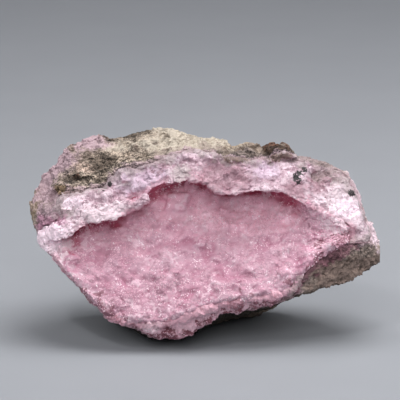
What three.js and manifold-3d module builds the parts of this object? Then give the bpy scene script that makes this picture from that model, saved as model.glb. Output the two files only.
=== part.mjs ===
// Cobaltoan calcite specimen: a hand-sized piece of host rock, broken open across a flat hollow. Pale massive
// calcite lines the hollow and shows as a thick broken band along its upper lip, and a crust of small pink
// crystals covers the floor inside. Millimetres, +Z up. The show side faces -Y, the length runs along X, and
// the origin is at the middle of the bounding box, on the flat the stone rests on.

import * as THREE from "three";
import { ConvexGeometry } from "three/addons/geometries/ConvexGeometry.js";
import { ImprovedNoise } from "three/addons/math/ImprovedNoise.js";
import { mergeVertices } from "three/addons/utils/BufferGeometryUtils.js";
import Module from "manifold-3d";

const wasm = await Module();
wasm.setup();

// Driving dimensions.
const LENGTH = 92.6; // from the left tip to the right tip
const HOLLOW_LEFT = -41.5; // left end of the hollow
const HOLLOW_RIGHT = 42; // right end of the hollow
const CRUST = 2.4; // the crystal crust, measured into the wall
const BAND = 4; // the massive calcite, measured from the hollow's face into the host rock
const BAND_ON_WEDGE = 1.2; // less than the crust, so the calcite pinches out above the bare wedge of rock
const GAP = 0.6; // clearance between neighbouring pieces
const FLAT = -3; // height of the resting flat: the foot of the show side overhangs it by this much
const PITTING = 0.55; // height of the small bumps all over the outside
const BACK_LUMPS = 1.2; // height of the broad lumps on the back
const FACE_LUMPS = 0.9; // height of the soft lumps on the hollow's face
const SUGAR = 1.1; // height of the crystal grain on the crust
const FRONT = 14; // how far a cutter stands out in front of the stone
const STATION = 2.75; // spacing of the cross-sections along the length
const FACE_STATION = 3.1; // the same for the hollow's face and the crust
const CONTACT_STATION = 5; // the same for the contact of calcite and host rock
const CHIP_COUNT = 90; // flat scars broken off the outside
const CRYSTAL_COUNT = 52; // larger crystals that stand out of the crust
const BLOCK_COUNT = 19; // cleaved blocks standing out of the calcite's broken face

// The edges of the stone, each a rail of [x, y, z] points from the left tip to the right tip. A cross-section
// takes them in this order, round from the front foot.
const rails = {
  toe: [
    [-46, -1, 30], [-44.3, -8, 23.5], [-38, -13, 18.5], [-33.5, -16, 14], [-28.5, -18, 9], [-25, -19, 5.5],
    [-18, -19.5, 3.5], [-13, -20, 0.6], [-6, -20, 0.6], [-3, -19.5, 2], [1, -19, 5], [9, -18, 6.5],
    [18, -17, 9.5], [27, -15, 11.5], [39, -11, 14], [44, -7, 16], [46, -4, 18],
  ],
  rim: [
    [-46, -1.5, 30.5], [-42, -10.5, 22.8], [-38, -14, 20], [-33.5, -17, 15.7], [-28.5, -19, 10.6],
    [-25, -20, 7.8], [-18, -20.5, 6.3], [-10, -21, 6.2], [-6, -20.5, 8], [2, -19.5, 10.8], [13, -18.5, 12.6],
    [20, -17.5, 13], [25.5, -16, 16.5], [27, -15.5, 19.5], [33.5, -13, 24.3], [38, -11.5, 25.6],
    [42, -9, 25], [46, -4.5, 20],
  ],
  lip: [
    [-46, -2, 31.5], [-42, -10, 23.8], [-37.5, -12, 24.8], [-34, -12, 26.1], [-31.7, -11.5, 28.6],
    [-28, -11, 29.3], [-23, -11, 28.2], [-20.4, -10.4, 29.8], [-15.8, -9.2, 34], [-11.4, -8, 37.3],
    [-4.5, -7, 39.3], [0, -7.5, 37.7], [5, -9, 36.3], [16, -9, 37.2], [21.5, -8.5, 36.8],
    [24.5, -8.5, 34.2], [32.7, -8, 31], [42, -7, 26.5], [46, -4.5, 20.6],
  ],
  brow: [
    [-46, -1, 32.5], [-44.5, -3, 30.3], [-39, -4, 35.1], [-34, -4, 36.1], [-26, -2, 39.3], [-22, -1, 41.8],
    [-11.6, 0, 43.9], [-7.7, 1, 45.3], [-2.4, 1.5, 46.3], [1.6, 1, 46.1], [5.5, -1, 44.4], [9.5, -2, 43.6],
    [16, -0.5, 44.2], [20, 0.5, 44.8], [24, 3, 44.4], [31.4, 3, 42.5], [33.3, 2, 41.4], [37.8, 2, 39.9],
    [40.3, 1, 36.8], [42.3, 0, 29.5], [44.3, -1, 24.5], [46, -1.5, 21.3],
  ],
  crest: [
    [-46, 2, 33.5], [-44, 6, 37.6], [-41, 7, 39.8], [-38, 8, 42.3], [-35.3, 9, 46.2], [-33.3, 9.5, 45.4],
    [-30, 11, 47.5], [-26.5, 12, 47.4], [-22.9, 12, 47.4], [-17.7, 12, 48.2], [-14.5, 13, 49.4],
    [-9.5, 13, 49.9], [-5.9, 12, 48.7], [0.8, 11.5, 47.9], [6.9, 11, 46.5], [9.5, 10, 45], [20.9, 8, 46],
    [24.8, 7, 44.6], [31.4, 6, 42.9], [33.3, 5, 40.6], [37.8, 4, 40], [40.3, 3, 37.6], [41.3, 2.5, 34],
    [42.5, 2, 29.8], [44.5, 2, 25], [46, 0.5, 21.8],
  ],
  nape: [
    [-46, 6, 32], [-42, 12, 34.5], [-37, 15, 38], [-31, 19, 37], [-24, 20, 42], [-17, 19, 43.5],
    [-10, 23, 42], [-2, 21.5, 44.5], [6, 21.5, 40.5], [13, 17.5, 42], [20, 18.5, 38], [27, 17, 35.5],
    [34, 12, 36.5], [39, 11, 30], [42, 8, 27], [46, 3.5, 21],
  ],
  back: [
    [-46, 6, 30], [-42, 13, 28], [-35, 20, 24], [-28, 22.5, 28], [-20, 26, 23], [-10, 24.5, 27],
    [-2, 26.5, 21], [7, 24, 25], [14, 25.5, 20], [22, 21.5, 24.5], [30, 19.5, 19], [37, 15.5, 22],
    [44, 8, 20], [46, 4, 19],
  ],
  heel: [
    [-46, 4, 29], [-43, 8, 22], [-36, 11, 12], [-30, 15, 4], [-25, 14, FLAT], [-17, 19, FLAT],
    [-8, 22, FLAT], [1, 20, FLAT], [8, 21.5, FLAT], [17, 17, FLAT], [23, 17, 2], [28, 14, 6.5],
    [38, 10, 12], [44, 4, 16], [46, 2, 18],
  ],
  sole: [
    [-46, 1, 29], [-43, -2, 22], [-36, 4, 12], [-30, 9, 4], [-25, 9, FLAT], [-19, 0, FLAT],
    [-15, -9, FLAT], [-9, -10, FLAT], [-5, -6, FLAT], [-1, 1, FLAT], [4, 7, FLAT], [10, 11, FLAT],
    [16, 13, FLAT], [22, 13, 1.5], [30, 8, 8], [40, 0, 13], [46, -1, 17.5],
  ],
};

// How many faces lie between each rail and the next, round a section.
const faces = { toe: 1, rim: 1, lip: 4, brow: 3, crest: 2, nape: 3, back: 4, heel: 2, sole: 2 };

// Inside the hollow: the deepest line, under the lip, and the middle of the sloping floor.
const deepRail = [
  [-42, -9, 23.7], [-37, -8, 25], [-31, -4, 28], [-23, -2, 29], [-15, 1, 34.2], [-4.5, 3, 38], [5, 3, 35.2],
  [16, 2, 35.6], [24, -1.3, 32.2], [28.5, -6, 29.8], [33, -7, 28.4], [42, -7.3, 25.6],
];
const floorRail = [
  [-42, -9.6, 23], [-37, -12, 21.3], [-28, -12.5, 16.7], [-15, -10.5, 17.2], [-4, -9, 19], [8, -9.5, 19.2],
  [20, -10, 21.3], [30, -10, 24], [42, -8, 24.8],
];

const noise = new ImprovedNoise();

// Layered noise at a point, about -1 to 1. `size` is the width of its largest bumps.
function rough(p, size, octaves = 2) {
  let sum = 0;
  for (let k = 0; k < octaves; k++) {
    const scale = 2 ** k / size;
    sum += noise.noise(p.x * scale + 7.3, p.y * scale + 3.1, p.z * scale + 5.7) / 2 ** k;
  }
  return sum;
}

// A repeatable source of numbers from 0 to 1.
function dice(seed) {
  let state = seed;
  return () => {
    state = (state * 1664525 + 1013904223) % 4294967296;
    return state / 4294967296;
  };
}

// The point of a rail at x.
function at(rail, x) {
  const end = rail.findIndex((point) => point[0] >= x);
  if (end < 1) {
    const [, y, z] = end === 0 ? rail[0] : rail.at(-1);
    return new THREE.Vector3(x, y, z);
  }
  const from = new THREE.Vector3(...rail[end - 1]);
  const to = new THREE.Vector3(...rail[end]);
  return from.lerp(to, (x - from.x) / (to.x - from.x));
}

// Evenly spaced cross-section places.
function stations(from, to, spacing) {
  const count = Math.ceil((to - from) / spacing);
  return Array.from({ length: count + 1 }, (_, i) => THREE.MathUtils.lerp(from, to, i / count));
}

// A closed skin over rings of equal length, each end shut by a fan to its own middle.
function loft(rings) {
  const size = rings[0].length;
  const points = rings.flat();
  const index = [];
  for (let i = 0; i + 1 < rings.length; i++) {
    for (let j = 0; j < size; j++) {
      const a = i * size + j;
      const b = i * size + ((j + 1) % size);
      index.push(a, a + size, b, b, a + size, b + size);
    }
  }
  for (const [ring, start, flip] of [[rings[0], 0, false], [rings.at(-1), points.length - size, true]]) {
    const middle = ring.reduce((sum, p) => sum.add(p), new THREE.Vector3()).divideScalar(size);
    const hub = points.push(middle) - 1;
    for (let j = 0; j < size; j++) {
      const a = start + j;
      const b = start + ((j + 1) % size);
      index.push(...(flip ? [b, a, hub] : [a, b, hub]));
    }
  }
  const geometry = new THREE.BufferGeometry().setFromPoints(points).setIndex(index);
  geometry.computeVertexNormals();
  return geometry;
}

// Moves each vertex along its normal by `height(point)`; points on the resting flat stay where they are.
function displace(geometry, height) {
  const position = geometry.getAttribute("position");
  const normal = geometry.getAttribute("normal");
  const p = new THREE.Vector3();
  const n = new THREE.Vector3();
  for (let i = 0; i < position.count; i++) {
    p.fromBufferAttribute(position, i);
    if (p.z < FLAT + 0.05) continue;
    n.fromBufferAttribute(normal, i);
    p.addScaledVector(n, height(p));
    position.setXYZ(i, p.x, p.y, Math.max(p.z, FLAT));
  }
  geometry.computeVertexNormals();
  return geometry;
}

// Breaks flat scars off the outside: round a random vertex, what stands above a tilted plane is laid on it.
function chip(geometry, count, seed) {
  const position = geometry.getAttribute("position");
  const normal = geometry.getAttribute("normal");
  const roll = dice(seed);
  const p = new THREE.Vector3();
  for (let k = 0; k < count; k++) {
    const start = Math.floor(roll() * position.count);
    const centre = new THREE.Vector3().fromBufferAttribute(position, start);
    const tilt = new THREE.Vector3(roll() - 0.5, roll() - 0.5, roll() - 0.5).multiplyScalar(0.7);
    const facing = new THREE.Vector3().fromBufferAttribute(normal, start).add(tilt).normalize();
    const depth = 0.2 + 0.6 * roll();
    const reach = 4 + 4 * roll();
    for (let i = 0; i < position.count; i++) {
      p.fromBufferAttribute(position, i);
      const above = p.clone().sub(centre).dot(facing) + depth;
      if (above <= 0 || above > 1.3 || p.z < FLAT + 0.05 || p.distanceTo(centre) > reach) continue;
      p.addScaledVector(facing, -above);
      position.setXYZ(i, p.x, p.y, Math.max(p.z, FLAT));
    }
  }
  return geometry;
}

// A three.js geometry as a solid for joins and cuts.
function solid(geometry) {
  const bare = geometry.clone();
  bare.deleteAttribute("normal");
  bare.deleteAttribute("uv");
  const merged = mergeVertices(bare, 1e-4);
  const mesh = new wasm.Mesh({
    numProp: 3,
    vertProperties: merged.getAttribute("position").array,
    triVerts: new Uint32Array(merged.index.array),
  });
  return new wasm.Manifold(mesh);
}

// The largest body of a solid: loose crumbs that a cut leaves are dropped.
function whole(manifold) {
  return manifold.decompose().sort((a, b) => b.volume() - a.volume())[0];
}

// A named mesh of a solid, with its own material.
function piece(name, manifold, material) {
  const { vertProperties, triVerts } = whole(manifold).getMesh();
  const geometry = new THREE.BufferGeometry();
  geometry.setAttribute("position", new THREE.BufferAttribute(vertProperties, 3));
  geometry.setIndex(new THREE.BufferAttribute(triVerts, 1));
  geometry.computeVertexNormals();
  const mesh = new THREE.Mesh(geometry, material);
  mesh.name = name;
  return mesh;
}

// The stone's outside, with its mouth still closed.
function outerStone() {
  const names = Object.keys(faces);
  const rings = stations(-LENGTH / 2, LENGTH / 2, STATION).map((x) =>
    names.flatMap((name, k) => {
      const from = at(rails[name], x);
      const to = at(rails[names[(k + 1) % names.length]], x);
      return Array.from({ length: faces[name] }, (_, j) => from.clone().lerp(to, j / faces[name]));
    }),
  );
  const skin = displace(loft(rings), (p) => {
    const behind = THREE.MathUtils.smoothstep(p.y, 9, 16);
    return PITTING * rough(p, 8, 3) + BACK_LUMPS * behind * rough(p, 15, 1);
  });
  return solid(chip(skin, CHIP_COUNT, 11));
}

// A small knob or ledge of rock: a convex lump of `radii` about `centre`.
function knob(centre, radii, seed) {
  const roll = dice(seed);
  const points = Array.from({ length: 18 }, () => {
    const direction = new THREE.Vector3(roll() - 0.5, roll() - 0.5, roll() - 0.5).normalize();
    return direction.multiply(radii).multiplyScalar(0.85 + 0.2 * roll()).add(centre);
  });
  return solid(new ConvexGeometry(points));
}

// The hollow's face in the section at x: points from the lip, under the roof, down the floor to the rim, each
// with its normal into the stone.
function hollowFace(x, count) {
  const inside = THREE.MathUtils.clamp(x, HOLLOW_LEFT, HOLLOW_RIGHT);
  const [lip, deep, floor, rim] = [rails.lip, deepRail, floorRail, rails.rim].map((rail) => at(rail, inside));
  const roof = lip.clone().lerp(deep, 0.5);
  roof.z += 0.12 * lip.distanceTo(deep);
  const curve = new THREE.CatmullRomCurve3([lip, roof, deep, floor, rim], false, "chordal");
  return Array.from({ length: count + 1 }, (_, k) => {
    const point = curve.getPoint(k / count);
    const tangent = curve.getTangent(k / count);
    point.x = x;
    return { point, share: k / count, normal: new THREE.Vector3(0, -tangent.z, tangent.y).normalize() };
  });
}

// From 0 at either end of the hollow to 1 well inside it.
function fromEnds(x) {
  return THREE.MathUtils.smoothstep(Math.min(x - HOLLOW_LEFT, HOLLOW_RIGHT - x), 1, 9);
}

// The depth of the crust's underside below the hollow's face. The crust dies out just inside the lip and
// towards the ends, so the bare calcite comes right down to the lip's edge.
function crustDepth(share, x) {
  const fromLip = THREE.MathUtils.smoothstep(share, 0.1, 0.4);
  const toRim = THREE.MathUtils.smoothstep(share, 0.85, 1);
  return THREE.MathUtils.lerp(-GAP, CRUST * (1 - 0.3 * toRim), fromLip * fromEnds(x));
}

// A space with everything in front of the stone, whose back is the hollow's face moved into the stone by
// `depth(share, point)`. `short` is how far it stops short of the hollow's ends.
function frontSpace(short, count, depth) {
  const along = stations(HOLLOW_LEFT, HOLLOW_RIGHT, FACE_STATION);
  along[0] += short;
  along[along.length - 1] -= short;
  const rings = along.map((x) => {
    const face = hollowFace(x, count).map(({ point, normal, share }) =>
      point.clone().addScaledVector(normal, depth(share, point)),
    );
    const middle = face[0].clone().lerp(face.at(-1), 0.5);
    const front = middle.clone().add(new THREE.Vector3(0, -FRONT, 0));
    const low = face.at(-1).clone().add(new THREE.Vector3(0, -FRONT, -0.35 * FRONT));
    return [...face, low, front];
  });
  return solid(loft(rings));
}

// The space inside the contact of calcite and host rock, and all that is in front of it, grown by `grow`.
function bandSpace(grow) {
  const along = stations(1 - LENGTH / 2, LENGTH / 2 - 1, CONTACT_STATION);
  along[0] -= grow;
  along[along.length - 1] += grow;
  const rings = along.map((x) => {
    const wedge = THREE.MathUtils.smoothstep(x, 21, 26);
    const face = hollowFace(x, 12)
      .slice(5)
      .map(({ point, normal, share }) => {
        const thin = wedge * THREE.MathUtils.smoothstep(share, 0.45, 0.8);
        const depth = THREE.MathUtils.lerp(BAND, BAND_ON_WEDGE, thin) + grow;
        const back = share < 0.49 ? grow : 0;
        return point.clone().addScaledVector(normal, depth).add(new THREE.Vector3(0, back, 0));
      });
    const brow = at(rails.brow, x).add(new THREE.Vector3(0, grow, 0.2 * grow));
    brow.z = Math.max(brow.z, face[0].z + 1);
    const above = brow.clone().add(new THREE.Vector3(0, -1.5, 4));
    const high = brow.clone().add(new THREE.Vector3(0, -2.2 * FRONT, 4));
    const foot = at(rails.toe, x).add(new THREE.Vector3(0, 2.5 + grow, -2.5 - grow));
    foot.lerp(face.at(-1), wedge);
    const low = foot.clone().add(new THREE.Vector3(0, -FRONT, -0.3 * FRONT));
    return [high, above, brow, ...face.slice(0, -1), foot, low];
  });
  return solid(loft(rings));
}

// Calcite cleaves into rhombs: a cube squashed along one of its diagonals.
function rhomb(edge) {
  const geometry = new THREE.BoxGeometry(edge, edge, edge);
  const upright = new THREE.Quaternion().setFromUnitVectors(
    new THREE.Vector3(1, 1, 1).normalize(),
    new THREE.Vector3(0, 0, 1),
  );
  return geometry.applyQuaternion(upright).scale(1, 1, 0.8);
}

// The larger crystals, standing out of the hollow's floor with a point or an edge up.
function crystals() {
  const roll = dice(5);
  const blocks = Array.from({ length: CRYSTAL_COUNT }, () => {
    const x = THREE.MathUtils.lerp(HOLLOW_LEFT + 5, HOLLOW_RIGHT - 6, roll());
    const floor = hollowFace(x, 20).slice(10, 19);
    const { point, normal } = floor[Math.floor(roll() * floor.length)];
    const edge = 1.6 + 1.4 * roll() ** 2;
    const lean = new THREE.Vector3(roll() - 0.5, roll() - 0.5, roll() - 0.5);
    const up = normal.clone().negate().add(lean).normalize();
    const turn = new THREE.Quaternion().setFromUnitVectors(new THREE.Vector3(0, 0, 1), up);
    const geometry = rhomb(edge).rotateZ(roll() * Math.PI * 2).applyQuaternion(turn);
    point.addScaledVector(normal, 0.16 * edge);
    return solid(geometry.translate(point.x, point.y, point.z));
  });
  return wasm.Manifold.union(blocks);
}

// Cleaved blocks over the broken face of the calcite, between its lip and its brow.
function blocks() {
  const roll = dice(29);
  const solids = Array.from({ length: BLOCK_COUNT }, (_, k) => {
    const x = THREE.MathUtils.lerp(-36, 37, (k + roll()) / BLOCK_COUNT);
    const centre = at(rails.lip, x).lerp(at(rails.brow, x), 0.54 + 0.34 * roll());
    const edge = 2.6 + 2.2 * roll();
    const lean = new THREE.Vector3(roll() - 0.5, roll() - 1, roll() - 0.3).normalize();
    const turn = new THREE.Quaternion().setFromUnitVectors(new THREE.Vector3(0, 0, 1), lean);
    const geometry = rhomb(edge).rotateZ(roll() * Math.PI * 2).applyQuaternion(turn);
    return solid(geometry.translate(centre.x, centre.y + 0.38 * edge, centre.z - 0.28 * edge));
  });
  return wasm.Manifold.union(solids);
}

// The largest crystal: it stands on the upper floor with one face to the front.
function largestCrystal() {
  const slant = new THREE.Matrix4().makeShear(0, 0, 0, 0, 0.22, 0);
  const geometry = new THREE.BoxGeometry(5.6, 4, 4.8).applyMatrix4(slant).rotateX(-0.38).rotateZ(-0.12);
  return solid(geometry.translate(-7, 2.3, 31.3));
}

// The rusty ledge on the right of the crest, the grey slab beside it and the brown knob above the left end of
// the band, then two lumps on the back.
const ledges = [
  knob(new THREE.Vector3(20.5, 4.5, 44.8), new THREE.Vector3(6.5, 6, 2), 3),
  knob(new THREE.Vector3(9, 1.5, 44.3), new THREE.Vector3(5, 5, 1.6), 8),
  knob(new THREE.Vector3(-29, 2, 38.6), new THREE.Vector3(7, 4, 2), 34),
  knob(new THREE.Vector3(-21, 21.5, 33), new THREE.Vector3(10, 5, 6), 51),
  knob(new THREE.Vector3(12, 21.5, 13), new THREE.Vector3(9, 5, 8), 62),
];
const stone = wasm.Manifold.union([outerStone(), blocks(), ...ledges]);

// The face of the crust is lumpy and sugary, and its underside only lumpy. Both are smooth at the lip and the
// rim.
const grain = dice(17);
const lumps = (share, p) => Math.min(1, 6 * share, 6 * (1 - share)) * FACE_LUMPS * rough(p, 7);
const grains = (share, p) => fromEnds(p.x) * Math.min(1, 5 * share) * SUGAR * (grain() - 0.5);
const hollow = frontSpace(0, 19, (share, p) => lumps(share, p) + grains(share, p));
const underside = (share, p) => crustDepth(share, p.x) + lumps(share, p);
const underCrust = frontSpace(GAP, 12, underside);
const underCrustClear = frontSpace(0, 12, (share, p) => underside(share, p) + GAP);

// Host rock, calcite and crust are the one stone, parted by these spaces.
const rock = stone.subtract(bandSpace(GAP)).subtract(underCrustClear);
const band = stone.intersect(bandSpace(0)).subtract(underCrustClear);
const grown = crystals().add(largestCrystal()).intersect(underCrust);
const druse = whole(stone.intersect(underCrust).subtract(hollow)).add(grown);

const specimen = new THREE.Group();
specimen.add(
  piece("host_rock", rock, new THREE.MeshStandardMaterial({ color: 0x8b7d6b, roughness: 0.95 })),
  piece("calcite_band", band, new THREE.MeshStandardMaterial({ color: 0xe9d3dc, roughness: 0.55 })),
  piece("pink_druse", druse, new THREE.MeshStandardMaterial({ color: 0xc98a9f, roughness: 0.35 })),
);

// The bounding box's middle goes over the origin.
const box = new THREE.Box3().setFromObject(specimen);
const middle = box.getCenter(new THREE.Vector3());
specimen.position.set(-middle.x, -middle.y, -box.min.z);

export default specimen;
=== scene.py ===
"""The looks of a cobaltoan calcite specimen: a broken lump of host rock, open across a hollow, with a band
of pale calcite along the hollow's lip and a crust of pink crystals inside. Lengths here are millimetres
unless a comment says otherwise, and the finished meshes are metres."""

import bmesh
import bpy
import numpy as np
from mathutils import Matrix, Vector
from mathutils.bvhtree import BVHTree
from mathutils.kdtree import KDTree
from mathutils.noise import fractal


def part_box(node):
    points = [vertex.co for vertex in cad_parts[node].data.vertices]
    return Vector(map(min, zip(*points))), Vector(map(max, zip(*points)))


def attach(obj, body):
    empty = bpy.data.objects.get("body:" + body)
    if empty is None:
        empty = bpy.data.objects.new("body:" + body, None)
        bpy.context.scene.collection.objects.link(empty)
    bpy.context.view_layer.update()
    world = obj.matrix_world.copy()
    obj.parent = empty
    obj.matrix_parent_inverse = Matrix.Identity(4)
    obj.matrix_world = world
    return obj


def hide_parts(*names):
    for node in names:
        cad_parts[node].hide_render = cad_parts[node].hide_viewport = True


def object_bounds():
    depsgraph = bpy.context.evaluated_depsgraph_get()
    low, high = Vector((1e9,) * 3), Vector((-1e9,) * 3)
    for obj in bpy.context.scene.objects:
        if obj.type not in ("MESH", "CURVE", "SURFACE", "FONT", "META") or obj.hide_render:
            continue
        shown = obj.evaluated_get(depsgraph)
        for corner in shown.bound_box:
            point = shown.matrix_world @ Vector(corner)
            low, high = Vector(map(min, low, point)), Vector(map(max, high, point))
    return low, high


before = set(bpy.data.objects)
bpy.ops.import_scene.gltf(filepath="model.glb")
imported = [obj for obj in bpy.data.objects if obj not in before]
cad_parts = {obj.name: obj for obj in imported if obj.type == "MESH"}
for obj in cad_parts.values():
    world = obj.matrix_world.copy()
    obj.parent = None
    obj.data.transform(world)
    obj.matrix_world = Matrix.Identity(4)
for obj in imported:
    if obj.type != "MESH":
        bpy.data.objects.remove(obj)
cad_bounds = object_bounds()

# ----------------------------------------------------------------------------------------------------------
# Host rock. A lump of dolomitic rock, hammered off the wall of a vein, so its outside is all flat scars and
# gritty breaks. It has weathered cream on top, and metal-bearing water has stained it rust and grey-brown
# along the calcite. Its left shoulder carries an older skin of mauve calcite grains.
# Painted into its colour is shade on its underside and foot, in the low spots of its relief and in a line
# under the grey slab.
# ----------------------------------------------------------------------------------------------------------

MM = 0.001
ROCK_GRAIN = 0.44  # spacing of the mesh points
TOUCHING = 1.3  # pieces nearer than this have grown against each other
CLOSING = 0.6  # share of the gap between them that a piece's skin crosses, where they all but touch
FADE = 0.7  # how fast noise fades towards its finer octaves
FINER = 2.0  # how much finer each octave is than the last
WEDGE_PLACE = (0.90, 0.12, 0.42)  # the coarser wedge at the lower right, as shares of the rock's box
WEDGE_RADII = (17, 10, 11)


def spot(node, x, y, z):
    """The point at these shares of a node's box."""
    low, high = (np.array(corner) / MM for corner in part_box(node))
    return low + (high - low) * (x, y, z)


def new_object(name, data):
    """An object of this name, put into the scene."""
    made = bpy.data.objects.new(name, data)
    bpy.context.scene.collection.objects.link(made)
    return made


def drop_crumbs(mesh):
    """Deletes what hangs loose beside the piece, such as crumbs that a remesh leaves along a thin edge."""
    shape = bmesh.new()
    shape.from_mesh(mesh)
    unseen = set(shape.verts)
    islands = []
    while unseen:
        island = [unseen.pop()]
        for corner in island:
            near = {edge.other_vert(corner) for edge in corner.link_edges} & unseen
            unseen -= near
            island.extend(near)
        islands.append(island)
    islands.sort(key=len)
    for crumb in islands[:-1]:
        bmesh.ops.delete(shape, geom=crumb, context="VERTS")
    shape.to_mesh(mesh)
    shape.free()


def even_skin(node, name, spacing, rounding, knobs=()):
    """A new object in a node's shape, with knobs grown on, small even faces and its edges worn round."""
    shape = bmesh.new()
    shape.from_mesh(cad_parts[node].data)
    for shares, radius in knobs:
        place = Matrix.Translation(Vector(spot(node, *shares) * MM))
        bmesh.ops.create_icosphere(shape, subdivisions=3, radius=radius * MM, matrix=place)
    mesh = bpy.data.meshes.new(name)
    shape.to_mesh(mesh)
    shape.free()
    piece = new_object(name, mesh)
    remesh = piece.modifiers.new("even", "REMESH")
    remesh.mode = "VOXEL"
    remesh.voxel_size = spacing * MM
    worn = piece.modifiers.new("worn", "SMOOTH")
    worn.iterations = rounding
    shown = piece.evaluated_get(bpy.context.evaluated_depsgraph_get())
    piece.data = bpy.data.meshes.new_from_object(shown)
    piece.modifiers.clear()
    drop_crumbs(piece.data)
    return piece


def skin(piece):
    """The points of a piece and their normals."""
    points = np.empty(len(piece.data.vertices) * 3, np.float32)
    normals = np.empty_like(points)
    piece.data.vertices.foreach_get("co", points)
    piece.data.vertices.foreach_get("normal", normals)
    return points.reshape(-1, 3) / MM, normals.reshape(-1, 3)


def reshape(piece, points):
    """Gives a piece new points, none of them outside the specimen's box."""
    low, high = (np.array(corner) / MM for corner in cad_bounds)
    inside = np.clip(points, low, high) * MM
    piece.data.vertices.foreach_set("co", inside.astype(np.float32).ravel())
    piece.data.update()


def surface(node):
    """A node's surface, ready to be asked for its nearest point or for where a ray meets it."""
    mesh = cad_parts[node].data
    corners = [v.co / MM for v in mesh.vertices]
    return BVHTree.FromPolygons(corners, [p.vertices for p in mesh.polygons])


surfaces = {node: surface(node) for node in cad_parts}


def distance(points, node):
    """How far each point is from a node."""
    return np.array([surfaces[node].find_nearest(Vector(p))[3] for p in points])


def grow_together(piece, *nodes):
    """Draws a piece's skin to its neighbours wherever they have grown together, so that no seam is open."""
    points, _ = skin(piece)
    for node in nodes:
        for i, point in enumerate(points):
            nearest, _, _, away = surfaces[node].find_nearest(Vector(point), TOUCHING)
            if nearest is not None:
                points[i] += CLOSING * (np.array(nearest) - point) * (1 - (away / TOUCHING) ** 4)
    reshape(piece, points)


def noise(points, size, octaves=3):
    """Layered noise, about -1 to 1, whose widest bumps are as wide as size."""
    return np.array([fractal(Vector(p), FADE, FINER, octaves) for p in points / size])


def scattered(points, size, seed):
    """Strews centres about this far apart, and hands back the dice that drew them, the number of the centre
    that is nearest to each point, and the point's offset from it."""
    dice = np.random.default_rng(seed)
    low, high = points.min(0), points.max(0)
    centres = dice.uniform(low, high, (int(np.prod((high - low) / size)), 3))
    tree = KDTree(len(centres))
    for i, centre in enumerate(centres):
        tree.insert(centre, i)
    tree.balance()
    owner = np.array([tree.find(p)[1] for p in points])
    return dice, owner, points - centres[owner]


def fragments(points, size, seed):
    """Heights, about -1 to 1, of a surface broken into fragments, each on a tilted plane of its own."""
    dice, owner, offset = scattered(points, size, seed)
    tilt = dice.uniform(-1, 1, (owner.max() + 1, 3)) / size
    return (offset * tilt[owner]).sum(1)


def smooth(value, low, high):
    """0 below low, 1 above high, and an even S between them."""
    share = np.clip((value - low) / (high - low), 0, 1)
    return share * share * (3 - 2 * share)


def patch(points, centre, radii, raggedness=0.35):
    """1 in the middle of a ragged patch, down to 0 outside it, with one radius each way or one for all."""
    away = np.linalg.norm((points - centre) / radii, axis=1)
    return np.clip(1.5 - away + raggedness * noise(points, 2.5, 2), 0, 1)


def mark(piece, name, values):
    """Keeps a value for each point of a piece, for its finish to read."""
    attribute = piece.data.attributes.new(name, "FLOAT", "POINT")
    attribute.data.foreach_set("value", np.asarray(values, np.float32))


def mark_patches(piece, points, node, patches, raggedness=0.35):
    """Marks each named patch. It is made of spots, each with its place in the node's box and its radii."""
    for name, spots in patches.items():
        values = [patch(points, spot(node, *place), radii, raggedness) for place, radii in spots]
        mark(piece, name, np.max(values, axis=0))


def facet_shading(piece):
    """Shades every face flat, as on a cleaved break."""
    piece.data.polygons.foreach_set("use_smooth", np.zeros(len(piece.data.polygons), bool))


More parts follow.
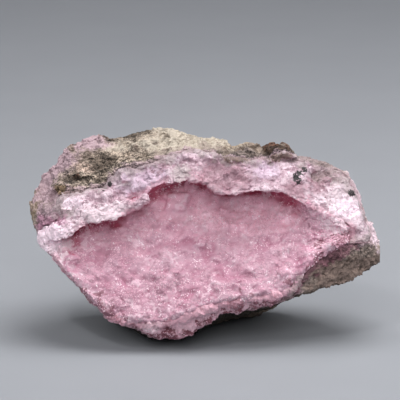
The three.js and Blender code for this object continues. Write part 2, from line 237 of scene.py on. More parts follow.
class Finish:
    """A material in the making. `node` adds any node to it."""

    def __init__(self, name, **fixed):
        self.material = bpy.data.materials.new(name)
        self.material.use_nodes = True
        self.tree = self.material.node_tree
        self.shader = self.tree.nodes["Principled BSDF"]
        self.give(**fixed)
        self.place = self.node("TexCoord", {}, {}, "Object")

    def node(self, kind, settings, inputs, output=0):
        """Adds a node, makes its settings, feeds its inputs and hands back one of its outputs."""
        made = self.tree.nodes.new("ShaderNode" + kind)
        for name, value in settings.items():
            setattr(made, name, value)
        for name, value in inputs.items():
            self.feed(made.inputs[name], value)
        return Wire(self, made.outputs[output])

    def feed(self, socket, value):
        """Joins a wire to a socket, or sets the socket to a fixed value."""
        if isinstance(value, Wire):
            self.tree.links.new(value.socket, socket)
        else:
            socket.default_value = value

    def give(self, **values):
        """Feeds the shader's own sockets. A name here has _ where the socket's name has a space."""
        for name, value in values.items():
            self.feed(self.shader.inputs[name.replace("_", " ")], value)

    def noise(self, size, detail=3, roughness=0.55, streak=None):
        """Cloudy noise from 0 to 1, with clouds of this size. A streak draws them out to about three times
        as long, along the way that it turns them."""
        place = self.place
        if streak is not None:
            mapping = {"Vector": place, "Rotation": streak, "Scale": (0.33, 1, 1)}
            place = self.node("Mapping", {}, mapping)
        settings = {"Vector": place, "Scale": 1 / (size * MM), "Detail": detail, "Roughness": roughness}
        return self.node("TexNoise", {}, settings)

    def grains(self, size):
        """Grains of this size, each with a number of its own from 0 to 1."""
        inputs = {"Vector": self.place, "Scale": 1 / (size * MM)}
        colour = self.node("TexVoronoi", {}, inputs, "Color")
        return self.node("SeparateColor", {}, {"Color": colour})

    def value_at(self, name):
        """A value that the mesh keeps for each point."""
        return self.node("Attribute", {"attribute_name": name}, {}, "Fac")

    def rise(self, value, low, high):
        """0 below low, 1 above high, and an even S between them."""
        inputs = {"Value": value, "From Min": low, "From Max": high}
        return self.node("MapRange", {"interpolation_type": "SMOOTHSTEP"}, inputs)

    def mix(self, share, first, second):
        """The first colour where share is 0, and the second where it is 1."""
        return self.node("Mix", {"data_type": "RGBA"}, {0: share, 6: first, 7: second}, 2)

    def shade(self, colour, strength):
        """A colour made darker or lighter by a number."""
        return self.node("VectorMath", {"operation": "SCALE"}, {0: colour, "Scale": strength})

    def stained(self, ground, ragged, stains):
        """The ground's colour with one ragged stain after another over it. Each has the name of the value
        on the mesh that says where it is, its strength and its colour."""
        for name, strength, colour in stains:
            share = self.rise(self.value_at(name) + ragged, 0.25, 0.85)
            ground = self.mix(share * strength, ground, tint(*colour))
        return ground

    def bump(self, height, depth, under=None):
        """Fine relief, too small for the mesh, of this depth."""
        inputs = {"Height": height, "Distance": depth * MM, "Strength": 1.0}
        if under is not None:
            inputs["Normal"] = under
        return self.node("Bump", {}, inputs)

    def coat(self, piece):
        """Puts the finished material on a piece."""
        piece.data.materials.clear()
        piece.data.materials.append(self.material)


class Wire:
    """A node's output. Sums written with wires add the Math nodes that work them out."""

    def __init__(self, finish, socket):
        self.finish = finish
        self.socket = socket

    def maths(self, operation, *numbers):
        """The outcome of a Math node that is fed these numbers and wires."""
        return self.finish.node("Math", {"operation": operation}, dict(enumerate(numbers)))

    def __add__(self, other):
        return self.maths("ADD", self, other)

    def __sub__(self, other):
        return self.maths("SUBTRACT", self, other)

    def __rsub__(self, other):
        return self.maths("SUBTRACT", other, self)

    def __mul__(self, other):
        return self.maths("MULTIPLY", self, other)

    __radd__ = __add__
    __rmul__ = __mul__


def tint(red, green, blue):
    """A colour of 0 to 255 a channel, as the shader's linear numbers."""
    channels = [c / 255 for c in (red, green, blue)]
    return (*(c / 12.92 if c < 0.04 else ((c + 0.055) / 1.055) ** 2.4 for c in channels), 1.0)


rock = even_skin("host_rock", "host_rock_skin", ROCK_GRAIN, 2)
grow_together(rock, "calcite_band", "pink_druse")
points, normals = skin(rock)
off_the_flat = smooth(points[:, 2], 0.05, 1.2)
swell = 0.45 * noise(points, 7)
scars = 0.7 * fragments(points, 9, 4) + 0.35 * fragments(points, 4.5, 1)
wedge = patch(points, spot("host_rock", *WEDGE_PLACE), WEDGE_RADII)
grit = (0.36 + 0.2 * wedge) * fragments(points, 1.5, 2)
grit += (0.2 + 0.05 * wedge) * fragments(points, 0.8, 3)
grit += 0.35 * wedge * fragments(points, 3.0, 5)
to_calcite = distance(points, "calcite_band")
to_druse = distance(points, "pink_druse")
free = 0.35 + 0.65 * smooth(np.minimum(to_calcite, to_druse), 0.3, 2.5)
cracks = 1 - smooth(abs(noise(points + (9, 4, 2), 5, 4)), 0.0, 0.1)
cracks *= 1 - wedge
relief = swell + scars + grit - 0.4 * cracks
reshape(rock, points + normals * (off_the_flat * free * relief)[:, None])

# Painted shade: the faces that look down are darkened.
painted_underside_shade = 0.54 * smooth(-skin(rock)[1][:, 2], 0.3, 0.8)
# Painted shade: the low spots of the fine relief are darkened.
mark(rock, "low_spot_shade", 0.5 - 1.2 * grit)
# Painted shade: the rock's foot in front, which the show side overhangs, is made as dark as its underside.
right, back, up = points.T
tucked_in_shade = smooth(-up, -12, -9) * smooth(-right, -24, -21) * smooth(-back, 5, 8)
mark(rock, "painted_underside_shade", np.maximum(painted_underside_shade, tucked_in_shade))
mark(rock, "cracks", cracks)
mark(rock, "by_calcite", 1 - smooth(to_calcite + 3 * noise(points, 5), 1.0, 6))
mark(rock, "at_calcite", 1 - smooth(to_calcite + 1.6 * noise(points, 2.5), 0.0, 2.6))
mark(rock, "by_druse", 1 - smooth(to_druse + 2.0 * noise(points, 2.4), 0.2, 4.6))
rock_patches = {
    "cream": [((0.42, 0.62, 0.97), (17, 10, 6)), ((0.24, 0.58, 0.93), (6, 5, 2.4))],
    "mauve": [
        ((0.06, 0.50, 0.80), (8, 14, 11)),
        ((0.18, 0.62, 0.95), (6, 5, 3.4)),
        ((0.07, 0.24, 0.62), (5, 4, 4)),
    ],
    "fringe": [
        ((0.25, 0.44, 0.87), (9, 6, 3.6)),
        ((0.14, 0.36, 0.79), (8, 5, 3)),
        ((0.29, 0.66, 0.96), (7, 4, 2)),
    ],
    "ochre": [((0.11, 0.30, 0.745), (5, 4, 1.0))],
    "rust": [((0.14, 0.38, 0.80), (1.0, 2, 1.2)), ((0.71, 0.41, 0.95), (5.5, 6, 2.6))],
    "peach": [((0.16, 0.44, 0.84), (2.8, 3, 1.2))],
    "pale": [((0.82, 0.48, 0.86), (6.5, 5, 3))],
    "slab": [((0.60, 0.40, 0.95), (6, 5, 2.4))],
    "calcite": [((0.95, 0.50, 0.73), (5, 7, 9)), ((0.99, 0.35, 0.52), (3, 5, 4))],
    "wedge": [(WEDGE_PLACE, WEDGE_RADII)],
    "magenta": [((0.05, 0.23, 0.59), (3.2, 3, 2.6))],
    "dark_and_painted_shadow": [
        ((0.21, 0.45, 0.86), (3.2, 4, 2.6)),
        ((0.12, 0.38, 0.79), (3, 3, 1.6)),
        ((0.28, 0.68, 0.97), (6, 4, 2)),
        # This spot is a painted shadow line under the grey slab.
        ((0.64, 0.36, 0.895), (6, 3, 1.0)),
        ((0.71, 0.40, 0.925), (6, 4, 2.2)),
        ((0.87, 0.46, 0.87), (4, 4, 1.2)),
    ],
}
mark_patches(rock, points, "host_rock", rock_patches, 0.5)

stone = Finish("host_rock_finish", Roughness=0.9, Specular_IOR_Level=0.3)
cloud = stone.noise(5, 4)
mottle = stone.noise(1.5, 5, 0.68)
speck = stone.grains(0.32)
streaks = stone.noise(0.7, 4, 0.7, (0, 0.5, 0))
ragged = (mottle - 0.5) * 1.3 + (speck - 0.5) * 0.3 + (streaks - 0.5) * 0.6
ground = stone.mix(stone.rise(cloud + ragged * 0.4, 0.35, 0.65), tint(106, 92, 84), tint(142, 127, 116))
buff = stone.rise(stone.noise(14, 3) + ragged * 0.2, 0.5, 0.64)
ground = stone.mix(buff * 0.6, ground, tint(160, 142, 118))
stains = [
    ("wedge", 1.0, (132, 114, 106)),
    ("cream", 1.0, (174, 163, 150)),
    ("by_calcite", 0.7, (150, 136, 128)),
    ("mauve", 0.88, (172, 147, 155)),
    ("fringe", 0.8, (186, 168, 152)),
    ("ochre", 0.7, (158, 128, 92)),
    ("peach", 0.85, (208, 184, 170)),
    ("pale", 0.9, (148, 131, 132)),
    ("slab", 0.95, (124, 110, 105)),
    ("rust", 0.9, (104, 64, 48)),
    # Dark rock, and the painted shadow line under the slab.
    ("dark_and_painted_shadow", 0.8, (78, 66, 57)),
    ("calcite", 0.95, (216, 194, 203)),
    ("at_calcite", 0.7, (178, 152, 160)),
    ("magenta", 0.7, (172, 120, 144)),
    ("by_druse", 0.85, (122, 80, 92)),
]
ground = stone.stained(ground, ragged, stains)
dirt_on = {
    "fringe": 1.2,
    "rust": 0.8,
    "slab": 0.6,
    "wedge": 0.25,
    "by_calcite": 0.3,
    "calcite": -1.0,
    "cream": -0.3,
}
dirty = sum((stone.value_at(name) * share for name, share in dirt_on.items()), 0.1)
flecks = stone.rise(streaks * 0.6 + stone.noise(0.36, 3, 0.75) * 0.6 + dirty * 0.03, 0.6, 0.7)
wandering = stone.noise(2.4, 5, 0.62, (0, 0.6, 0)) - 0.5
seams = 1 - stone.rise(wandering * wandering, 0.0, 0.0022)
light_and_dark = 0.76 + 0.5 * mottle + 0.24 * speck
# Painted shade in the low spots, and dirt in the seams and cracks.
shade_and_dirt = 1 - 0.45 * stone.rise(stone.value_at("low_spot_shade"), 0.5, 0.95)
shade_and_dirt = shade_and_dirt * (1 - 0.55 * seams * stone.rise(dirty, 0.0, 0.8))
shade_and_dirt = shade_and_dirt * (1 - 0.4 * stone.rise(stone.value_at("cracks") + ragged * 0.8, 0.4, 1.0))
# Dark flecks of dirt, with the painted shade of the underside and the foot.
dirt_and_painted_shade = (1 - 0.85 * flecks * stone.rise(dirty, 0, 1)) * (1 - 0.89 * stone.value_at("painted_underside_shade"))
fine = stone.bump(stone.noise(0.35, 3, 0.7), 0.16)
stone.give(
    Base_Color=stone.shade(ground, light_and_dark * shade_and_dirt * dirt_and_painted_shade),
    Normal=stone.bump(mottle, 0.25, fine),
)
stone.coat(rock)
facet_shading(rock)
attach(rock, "root")
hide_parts("host_rock")

# ----------------------------------------------------------------------------------------------------------
# Calcite band. Massive calcite that filled the vein's wall before the crystals grew. The hammer broke it
# across its grain, so the lip is a mass of small cleavage flakes, white and pink and a little see-through,
# with grey and brown dirt towards the host rock and small black specks of manganese oxide.
# Painted into its colour are a shadow line under the grey slab, a rose glow on its downward faces, shade in
# the low spots of its flakes and light on a few patches.
# ----------------------------------------------------------------------------------------------------------

CALCITE_GRAIN = 0.4
LIP_KNOBS = [  # each one's place, as shares of the calcite's box, and its radius
    ((0.278, 0.51, 0.708), 1.6),
    ((0.30, 0.48, 0.715), 1.3),
    ((0.326, 0.50, 0.757), 1.3),
]
FOOT_NODES = ("calcite_band", "pink_druse")  # the nodes along the foot of the show side
FOOT_STATIONS = np.arange(-46, 47, 1.5)  # where along the specimen the foot of its show side is measured
FOOT_REACH = 3.2  # how far to either side of a station the measuring reaches


def lumps(points, size, seed):
    """Heights, 1 on the crowns and about 0 in the creases, of a surface of rounded grains."""
    wander = 0.25 * size * noise(points, size, 2)
    _, _, offset = scattered(points + wander[:, None], size, seed)
    return 1 - np.linalg.norm(offset, axis=1) ** 2 / size**2


def soften(piece, points, share, rounds):
    """Points drawn towards their neighbours, each by its own share, so that what stands out sinks back."""
    ends = np.empty(len(piece.data.edges) * 2, np.int32)
    piece.data.edges.foreach_get("vertices", ends)
    ends = ends.reshape(-1, 2)
    here, there = np.concatenate([ends, ends[:, ::-1]]).T
    neighbours = np.bincount(here, minlength=len(points))
    for _ in range(rounds):
        sums = np.stack([np.bincount(here, points[there, k], len(points)) for k in range(3)], axis=1)
        points = points + share[:, None] * (sums / neighbours[:, None] - points)
    return points


def past_left_tip(points):
    """0 at the specimen's left tip, and 1 from a little way in."""
    return smooth(points[:, 0], -30, -24)


def dusky_foot(points, height):
    """1 along the foot of the show side, and ragged down to 0 at about this height above it."""
    foot_points = [[v.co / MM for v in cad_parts[node].data.vertices] for node in FOOT_NODES]
    show_side = np.concatenate(foot_points)
    feet = [show_side[abs(show_side[:, 0] - x) < FOOT_REACH, 2].min() for x in FOOT_STATIONS]
    above_foot = points[:, 2] - np.interp(points[:, 0], FOOT_STATIONS, feet)
    return smooth(noise(points, 2.6, 3) - 0.18 * (above_foot - height), -0.1, 0.5)


band = even_skin("calcite_band", "calcite_band_skin", CALCITE_GRAIN, 4, LIP_KNOBS)
grow_together(band, "host_rock", "pink_druse")
points, normals = skin(band)
to_rock = distance(points, "host_rock")
to_druse = distance(points, "pink_druse")
off_the_flat = smooth(points[:, 2], 0.05, 1.0)
blocks = 0.35 * fragments(points, 3.4, 11)
cobbles = lumps(points, 2.3, 14)
flakes = 0.22 * fragments(points, 1.6, 12) + 0.12 * fragments(points, 0.9, 13)
free = smooth(np.minimum(to_rock, to_druse), 0.2, 2.0)
crumbs = 0.45 * noise(points, 2.4) * (1 - free)
toe = smooth(-points[:, 2], -23, -18)
relief = 0.45 * noise(points, 5) + blocks + 0.55 * (cobbles - 0.6) + flakes
against_crust = 1 - smooth(to_druse, 0.2, 2.2)
foot_relief = 0.8 * against_crust + 0.6 * noise(points, 3.2) + 0.2 * fragments(points, 2.0, 15)
ragged_toe = toe * past_left_tip(points) * foot_relief
ledge = patch(points, spot("calcite_band", 0.72, 0.72, 0.96), (5, 5, 2))
crumbs += ledge * (0.5 * fragments(points, 1.8, 16) + 0.3 * noise(points, 1.5, 2))
height = off_the_flat * ((0.35 + 0.65 * np.maximum(free, toe)) * relief + crumbs + ragged_toe)
# Left of its middle the lip bulges into a rounded fold, beside which its edge is lifted. Its right end is
# worn smooth.
fold = patch(points, spot("calcite_band", 0.28, 0.45, 0.72), (6, 6, 5), 0)
lifted = patch(points, spot("calcite_band", 0.235, 0.37, 0.61), (3, 4, 2.6), 0)
tip = patch(points, spot("calcite_band", 0.92, 0.42, 0.54), (3.5, 4, 4), 0)
worn = soften(band, points + normals * (0.4 * fold)[:, None], 0.7 * np.maximum(fold, tip), 10)
worn[:, 2] += 1.5 * lifted
reshape(band, worn + normals * height[:, None])

# Painted shade: the low sides of the flakes are darkened.
mark(band, "low_spot_shade", 0.5 - flakes)
mark(band, "cobbles", cobbles)
mark(band, "by_rock", 1 - smooth(to_rock + 1.5 * noise(points, 3), 0.2, 4.0))
mark(band, "by_druse", against_crust)
# Painted glow: the faces that look down get a rose colour in the finish.
mark(band, "edge", smooth(-normals[:, 2], 0.0, 0.6))
mark(band, "toe", toe)
mark(band, "dusky", dusky_foot(points, 4.8))
band_patches = {
    "white": [
        ((0.04, 0.45, 0.53), (8, 6, 4)),
        ((0.22, 0.45, 0.66), (9, 5, 3.5)),
        ((0.94, 0.64, 0.71), (7, 8, 7)),
        ((0.34, 0.03, 0.11), (2.6, 3, 2.2)),
    ],
    # Painted light: these patches at and near the band's ends are made lighter to lift the shade on them.
    "painted_lightening": [
        ((0.03, 0.45, 0.54), (7, 6, 4)),
        ((0.93, 0.60, 0.68), (4, 5, 2.6)),
        ((0.11, 0.53, 0.725), (2.6, 3, 1.6)),
    ],
    # Rust brown on the ledge, and a painted shadow line under the grey slab.
    "rust_and_painted_shadow": [((0.72, 0.72, 0.96), (4.5, 4, 1.2)), ((0.60, 0.70, 0.955), (4, 4, 0.8))],
    "mauve": [
        ((0.55, 0.58, 0.87), (9, 5, 4)),
        ((0.88, 0.78, 0.85), (2.5, 4, 3.5)),
        ((0.76, 0.6, 0.78), (5, 4, 3)),
        ((0.84, 0.72, 0.81), (2.6, 4, 3)),
    ],
    "lilac": [((0.31, 0.65, 0.84), (7, 5, 4)), ((0.68, 0.65, 0.9), (4, 4, 3))],
    "glassy": [((0.43, 0.62, 0.89), (2.6, 3, 2.4))],
    "magenta": [((0.05, 0.47, 0.62), (4, 3, 2.4))],
    "specks": [
        ((0.22, 0.67, 0.81), 1.0),
        ((0.20, 0.63, 0.78), 0.5),
        ((0.775, 0.66, 0.845), 1.6),
        ((0.785, 0.71, 0.865), 1.1),
        ((0.80, 0.77, 0.88), 0.9),
        ((0.94, 0.71, 0.75), 1.3),
    ],
}
mark_patches(band, points, "calcite_band", band_patches)

calcite = Finish(
    "calcite_finish",
    Specular_IOR_Level=0.5,
    Subsurface_Weight=0.25,
    Subsurface_Radius=(1.0, 0.8, 0.85),
    Subsurface_Scale=0.6 * MM,
)
cloud = calcite.noise(3.0, 4)
mottle = calcite.noise(0.8, 4, 0.7)
flake = calcite.grains(0.6)
ragged = (mottle - 0.5) * 1.1 + (flake - 0.5) * 0.5
broken = calcite.noise(1.3, 4, 0.7)
streaked = calcite.rise(calcite.value_at("dusky") * 0.9 + ragged * 0.8 + (broken - 0.5) * 3, 0.3, 1.0)
ground = calcite.mix(calcite.rise(cloud + ragged * 0.4, 0.3, 0.7), tint(162, 127, 140), tint(198, 170, 182))
cobbled = calcite.rise(calcite.value_at("cobbles") + ragged * 0.7, 0.5, 1.0)
ground = calcite.mix(cobbled * 0.5, ground, tint(236, 218, 227))
ground = calcite.stained(ground, ragged, [("mauve", 0.8, (150, 110, 122)), ("lilac", 0.6, (198, 174, 194))])
pink_toe = calcite.mix(streaked, tint(206, 168, 181), tint(108, 56, 68))
ground = calcite.mix(calcite.value_at("toe"), ground, pink_toe)
stains = [
    ("white", 0.9, (214, 194, 202)),
    ("by_druse", 0.5, (212, 156, 172)),
    ("by_rock", 0.7, (152, 136, 135)),
    ("glassy", 0.7, (178, 166, 166)),
    ("magenta", 0.7, (170, 104, 136)),
]
ground = calcite.stained(ground, ragged, stains)
# Painted glow: the lip's downward faces, less so on the toe, are coloured rose.
painted_underside_glow = calcite.value_at("edge") * (0.5 - calcite.value_at("toe") * 0.4)
ground = calcite.mix(painted_underside_glow, ground, tint(206, 140, 158))
# Painted light on a few patches, then rust brown with a painted shadow line.
ground = calcite.stained(ground, ragged, [("painted_lightening", 0.9, (240, 216, 228)), ("rust_and_painted_shadow", 0.9, (112, 90, 82))])
specked = calcite.rise(calcite.value_at("specks") + (calcite.noise(0.9, 2) - 0.5) * 2.0, 0.7, 0.85)
ground = calcite.mix(specked, ground, tint(52, 44, 46))
glints = calcite.rise(flake, 0.86, 0.92)
light_and_dark = 0.62 + 0.5 * mottle + 0.16 * flake + 0.16 * glints
dirt = calcite.rise(calcite.noise(0.4, 3, 0.75), 0.55, 0.63)
dirt = dirt * calcite.rise(calcite.value_at("by_rock"), 0.1, 0.9)
# Painted shade in the low spots, and dirt towards the rock.
shade_and_dirt = (1 - 0.3 * calcite.rise(calcite.value_at("low_spot_shade"), 0.55, 0.8)) * (1 - 0.45 * dirt)
fine = calcite.bump(calcite.noise(0.35, 3, 0.65), 0.1)
calcite.give(
    Base_Color=calcite.shade(ground, light_and_dark * shade_and_dirt),
    Roughness=0.3 + 0.45 * flake,
    Normal=calcite.bump(flake, 0.08, fine),
)
calcite.coat(band)
facet_shading(band)
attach(band, "root")
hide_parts("calcite_band")

# ----------------------------------------------------------------------------------------------------------
# Pink druse. Cobalt-bearing calcite that grew last, into the open hollow: a continuous crust, lumpy like
# frozen sugar. This is the crust itself; its separate crystals follow. It pales at its ends. Its colour is
# painted lighter on its crests and darker between them, deep rose for the shade where it turns in under
# the lip, lighter where the lip shelters it, and darker at the hollow's deep left end. It is also darker
# towards the bottom.
# ----------------------------------------------------------------------------------------------------------

DRUSE_GRAIN = 0.34
SKY = [(0, 0, 1), (0, -0.5, 1), (0.6, -0.2, 0.8), (-0.6, -0.2, 0.8), (0, -1.2, 1)]  # ways to the light
OPEN = 1000  # head room where nothing hangs over the crust


def head_room(starts, way):
    """How far it is from each start to the calcite that hangs over it, going this way."""
    lip = surfaces["calcite_band"]
    return np.array([lip.ray_cast(Vector(start), way)[3] or OPEN for start in starts])


crust = even_skin("pink_druse", "pink_druse_skin", DRUSE_GRAIN, 5)
grow_together(crust, "calcite_band", "host_rock")
points, normals = skin(crust)
to_rock = distance(points, "host_rock")
to_wall = np.minimum(distance(points, "calcite_band"), to_rock)
# Hardly any grain lies over the largest crystal, so that its faces show.
largest = patch(points, spot("pink_druse", 0.41, 0.76, 0.70), (4.0, 4, 3.4), 0)
free = (0.45 + 0.55 * smooth(to_wall, 0.3, 1.6)) * (1 - 0.8 * smooth(largest, 0.2, 0.6))
crowns = 0.6 * lumps(points, 3.2, 23) + 0.4 * lumps(points, 1.7, 24)
bumps = 0.5 * noise(points, 6, 2) + 0.3 * noise(points, 2.6, 2) + 0.8 * (crowns - 0.6)
sugariness = smooth(noise(points, 6, 2), -0.25, 0.25)
sugar = (0.2 + 0.8 * sugariness) * (0.18 * fragments(points, 1.2, 21) + 0.1 * fragments(points, 0.7, 22))
crumbs = 0.45 * noise(points, 2.4) * (1 - smooth(to_wall, 0.3, 2.5))
rim = smooth(24 - points[:, 2], 0, 5) * (1 - smooth(to_wall, 1.5, 4.0))
foot_relief = 0.5 * noise(points, 3.2) + 0.18 * fragments(points, 2.0, 25)
crumbs += rim * past_left_tip(points) * foot_relief
# Past the right end of the lip the crust lies in the open, and is rougher.
open_end = smooth(points[:, 0], 23, 28)
end_relief = 0.4 * fragments(points, 1.7, 26) + 0.35 * noise(points, 1.8, 2)
crumbs += open_end * end_relief * (1 - smooth(to_wall, 4, 8))
shelf = 0.5 * open_end * smooth(points[:, 2], 28, 30) * (1 - smooth(to_wall, 1, 5))
# Painted shade at the hollow's deep left end; the crust is also darker towards the bottom.
shade_left_and_dark_bottom = patch(points, spot("pink_druse", 0.12, 0.5, 0.52), (13, 9, 6))
shade_left_and_dark_bottom += 0.9 * (1 - smooth(points[:, 2], 12, 24))
tip = patch(points, spot("pink_druse", 0.97, 0.42, 0.56), (4, 4, 4), 0)
worn = soften(crust, points, 0.9 * tip, 30)
worn = soften(crust, worn, 0.8 * smooth(largest, 0.0, 0.4), 12)
reshape(crust, worn + normals * (free * (bumps + sugar) + crumbs + shelf)[:, None])

# Painted light: the more ways to the light the lip shuts off, the lighter the crust's colour is made.
painted_light_in_shelter = sum(head_room(points + 1.2 * normals, Vector(way).normalized()) < OPEN for way in SKY)
painted_light_in_shelter = painted_light_in_shelter * (1 - open_end) / len(SKY)
mark(crust, "painted_light_in_shelter", painted_light_in_shelter)
mark(crust, "crests", 0.5 + 0.6 * bumps + 0.7 * sugar)
# Where the lip hangs close over the crust, its colour is painted a deep rose shade.
under_lip = head_room(points + 0.4 * normals, Vector((0, 0, 1)))
painted_lip_shade = (1 - smooth(under_lip + 1.5 * noise(points, 3), 4.2, 7.6)) * (1 - open_end)
painted_lip_shade *= smooth(points[:, 0], -38, -33)
mark(crust, "painted_lip_shade", painted_lip_shade)
mark(crust, "largest", largest)
mark(crust, "sugariness", sugariness)
mark(crust, "shade_left_and_dark_bottom", shade_left_and_dark_bottom)
right_end = 0.8 * patch(points, spot("pink_druse", 0.97, 0.5, 0.62), (8, 8, 5))
left_end = patch(points, spot("pink_druse", 0.0, 0.5, 0.5), (4, 8, 5))
left_rim = (0.6 + 0.5 * noise(points, 2.4)) * smooth(-points[:, 0], 18, 30)
left_rim *= smooth(27 - points[:, 2], 0, 3)
left_rim *= 1 - smooth(to_wall, 1, 4)
mark(crust, "pale_end", np.max([right_end, left_end, left_rim], axis=0))
dusky = dusky_foot(points, 5.4) * (to_wall < 3.5)
dusky += 0.5 * open_end * (1 - smooth(to_rock, 0.5, 3))
mark(crust, "dusky", dusky)
mark(crust, "rim", rim)

druse = Finish(
    "druse_finish",
    Specular_IOR_Level=0.5,
    Subsurface_Weight=0.25,
    Subsurface_Radius=(1.0, 0.6, 0.7),
    Subsurface_Scale=0.6 * MM,
)
cloud = druse.noise(6, 3)
mottle = druse.noise(1.6, 4, 0.6)
crystal = druse.grains(0.27)
blotches = (mottle - 0.5) * 2
# Painted light and shade: lighter on the crests, darker between them.
painted_crest_light = druse.rise(druse.value_at("crests") + (mottle - 0.5) * 0.8, 0.1, 1.0)
rose = druse.mix(painted_crest_light, tint(182, 122, 145), tint(212, 172, 188))
rose = druse.mix(druse.rise(cloud, 0.45, 0.7) * 0.5, rose, tint(220, 184, 198))
# Painted light: lighter and pinker where the lip shelters the crust.
rose = druse.mix(druse.rise(druse.value_at("painted_light_in_shelter"), 0.0, 0.8) * 0.8, rose, tint(248, 196, 214))
# Painted shade at the left end, and darker towards the bottom.
depth = druse.rise(druse.value_at("shade_left_and_dark_bottom") + mottle - 0.5, 0.1, 0.9)
rose = druse.mix(depth * 0.45, rose, tint(150, 92, 114))
# Painted shade: deep rose close under the lip.
rose = druse.mix(druse.value_at("painted_lip_shade") * 0.95, rose, tint(166, 52, 84))
pale_end = druse.rise(druse.value_at("pale_end") + blotches, 0.4, 0.9)
rose = druse.mix(pale_end * 0.7, rose, tint(236, 218, 225))
dull_rim = druse.rise(druse.value_at("rim") + blotches, 0.5, 1.0)
rose = druse.mix(dull_rim * 0.6, rose, tint(190, 156, 170))
broken = druse.noise(1.3, 4, 0.7) - 0.5
dark_streaks = druse.rise(druse.value_at("dusky") + broken * 2, 0.4, 0.9)
rose = druse.mix(dark_streaks * 0.8, rose, tint(128, 74, 88))
wandering = druse.noise(8, 4, 0.6) - 0.5
veins = (1 - druse.rise(wandering * wandering, 0.0, 0.0012)) * druse.rise(cloud, 0.4, 0.6)
rose = druse.mix(druse.value_at("largest") * 0.5, rose, tint(196, 140, 160))
rose = druse.mix(veins * 0.45, rose, tint(240, 214, 225))
frost = druse.value_at("sugariness")
pores = druse.rise(druse.noise(0.7, 4, 0.75), 0.54, 0.64)
clusters = druse.rise(druse.noise(2.2, 3), 0.42, 0.62)
glitter = druse.rise(crystal, 0.88, 0.92) * clusters
rose = druse.mix(pores * 0.3, rose, tint(166, 110, 132))
rose = druse.mix(glitter * 0.75, rose, tint(250, 232, 240))
fine = druse.bump(druse.noise(0.5, 3, 0.65), 0.06)
druse.give(
    Base_Color=druse.shade(rose, 0.93 + 0.16 * crystal * clusters),
    Roughness=0.55 - 0.3 * frost * crystal,
    Normal=druse.bump(crystal * frost, 0.1, fine),
)
druse.coat(crust)
facet_shading(crust)
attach(crust, "root")
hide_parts("pink_druse")

# ----------------------------------------------------------------------------------------------------------
# Druse crystals. The small calcite rhombs that make the crust sparkle: each grew with a point up out of the
# crust and leans its own way. They stand thick on some patches and hardly show on others.
# ----------------------------------------------------------------------------------------------------------

CRYSTAL_COUNT = 9000
SQUASH = 0.8  # a rhomb is a cube squashed along one of its diagonals
SMALLEST = 0.18  # edge of the smallest crystals
SPREAD = 0.22  # how much longer the edge of the largest is
LEAN = 0.3  # how far their tips stray sideways, as a share of their height
SUNK = 0.38  # how deep a crystal's middle lies in the crust, as a share of its edge

dice = np.random.default_rng(31)
crust_points, crust_normals = skin(crust)
toe_points, toe_normals = skin(band)
points = np.concatenate([crust_points, toe_points])
normals = np.concatenate([crust_normals, toe_normals])
# They crowd where the crust is sugary, keep off the largest crystal, and some stand on the calcite's foot.
crust_crowding = (0.06 + sugariness) * (to_wall > 0.35) * (largest < 0.3)
crust_crowding *= 1 - 0.9 * painted_lip_shade
crust_crowding *= 1 - 0.5 * rim
toe_crowding = 0.3 * (toe > 0.7) * (toe_normals[:, 1] < -0.2)
crowding = np.concatenate([crust_crowding, toe_crowding])
seats = dice.choice(len(points), CRYSTAL_COUNT, p=crowding / crowding.sum())
edges = SMALLEST + SPREAD * dice.random(CRYSTAL_COUNT) ** 2
lean = dice.normal(0, LEAN, (CRYSTAL_COUNT, 3))
ups = normals[seats] + lean
ups /= np.linalg.norm(ups, axis=1)[:, None]
sides = np.cross(ups, dice.normal(size=(CRYSTAL_COUNT, 3)))
sides /= np.linalg.norm(sides, axis=1)[:, None]
axes = np.stack([sides, np.cross(ups, sides), ups], axis=1)
upright = Vector((1, 1, 1)).rotation_difference(Vector((0, 0, 1))).to_matrix()
cube = np.array([(x, y, z) for x in (-0.5, 0.5) for y in (-0.5, 0.5) for z in (-0.5, 0.5)])
rhomb = cube @ np.array(upright).T * (1, 1, SQUASH)
corners = np.einsum("ck,nkd->ncd", rhomb, axes) * edges[:, None, None]
corners += (points[seats] - SUNK * edges[:, None] * ups)[:, None, :]
cube_faces = np.array([(0, 1, 3, 2), (4, 6, 7, 5), (0, 4, 5, 1), (2, 3, 7, 6), (0, 2, 6, 4), (1, 5, 7, 3)])
faces = (np.arange(CRYSTAL_COUNT)[:, None, None] * len(cube) + cube_faces).reshape(-1, 4)
mesh = bpy.data.meshes.new("druse_crystals")
mesh.from_pydata((corners.reshape(-1, 3) * MM).tolist(), [], faces.tolist())
crystals = new_object("druse_crystals", mesh)
reshape(crystals, skin(crystals)[0])
glittering = 0.8 + 0.2 * smooth(noise(points[seats], 3), 0, 0.35)
mark(crystals, "glint_chance", np.repeat(glittering * dice.random(CRYSTAL_COUNT), len(cube)))
shade = np.concatenate([painted_light_in_shelter, np.zeros(len(toe_points))])
mark(crystals, "painted_light_in_shelter", np.repeat(shade[seats], len(cube)))

facets = Finish("crystal_finish", Specular_IOR_Level=0.7)
glint_chance = facets.value_at("glint_chance")
cloud = facets.noise(5, 3)
rose = facets.mix(facets.rise(cloud + glint_chance * 0.3, 0.4, 0.9), tint(206, 154, 173), tint(226, 184, 200))
# Painted light: crystals under the lip take the lightened rose of the crust there.
rose = facets.mix(facets.value_at("painted_light_in_shelter") * 0.6, rose, tint(226, 166, 186))
# Painted glints: a few crystals, fewer under the lip, are made near white.
glint = facets.rise(glint_chance - facets.value_at("painted_light_in_shelter") * 0.04, 0.92, 0.94)
rose = facets.mix(glint, rose, tint(250, 236, 243))
facets.give(
    Base_Color=rose,
    Roughness=0.45 - 0.35 * glint_chance,
    Normal=facets.bump(facets.noise(0.3, 2), 0.03),
)
facets.coat(crystals)
facet_shading(crystals)
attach(crystals, "root")

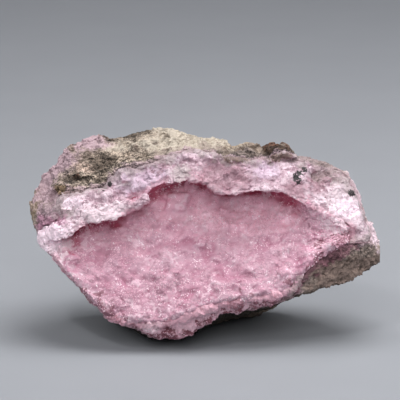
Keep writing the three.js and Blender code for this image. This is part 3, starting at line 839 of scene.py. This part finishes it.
# ----------------------------------------------------------------------------------------------------------
# The table that the specimen is shown on: a plain pale sheet, lit by four soft boxes and a small lamp, with
# a camera level with a visitor's eye as they bend down to it.
# ----------------------------------------------------------------------------------------------------------

AIM = Vector((-1.06, -2.87, 35.73)) * MM  # where the camera and the lights point
DISTANCE = 1.0  # metres
VIEW_WIDTH = 0.1056  # metres across the view at the specimen
CAMERA_TILT = np.radians(15)
TABLE_WIDTH = 8  # metres

bpy.ops.mesh.primitive_plane_add(size=TABLE_WIDTH)
table = bpy.context.object
table.name = "table"
paper = Finish("paper_finish", Roughness=0.75, Specular_IOR_Level=0.2)
paper.give(Base_Color=paper.mix(paper.noise(30, 2), tint(140, 142, 147), tint(144, 146, 151)))
paper.coat(table)


def soft_box(name, place, width, depth, power):
    """A light that faces the specimen. Its place, width and depth are metres, and its power is watts."""
    light = bpy.data.lights.new(name, "AREA")
    light.shape = "RECTANGLE"
    light.size = width
    light.size_y = depth
    light.energy = power
    box = new_object(name, light)
    box.location = place
    box.rotation_euler = (AIM - Vector(place)).to_track_quat("-Z", "Y").to_euler()


soft_box("overhead", (0.09, 0.05, 0.48), 0.4, 0.35, 2.7)
soft_box("right", (0.6, -0.05, 0.45), 0.4, 0.4, 1.7)
soft_box("left", (-0.6, 0.0, 0.5), 0.4, 0.4, 1.3)
soft_box("lamp", (-0.25, -0.5, 0.75), 0.07, 0.07, 1.3)
soft_box("front", (0.0, -0.8, 0.5), 0.5, 0.5, 3.5)

world = bpy.data.worlds.new("room")
bpy.context.scene.world = world
world.use_nodes = True
background = world.node_tree.nodes["Background"]
background.inputs["Color"].default_value = (0.9, 0.93, 1.0, 1)
background.inputs["Strength"].default_value = 0.16

camera = new_object("camera", bpy.data.cameras.new("camera"))
camera.data.sensor_width = 36
camera.data.lens = camera.data.sensor_width * DISTANCE / VIEW_WIDTH
back = Vector((0, -np.cos(CAMERA_TILT), np.sin(CAMERA_TILT)))
camera.location = AIM + back * DISTANCE
camera.rotation_euler = (-back).to_track_quat("-Z", "Y").to_euler()
bpy.context.scene.camera = camera
bpy.context.scene.view_settings.view_transform = "Standard"
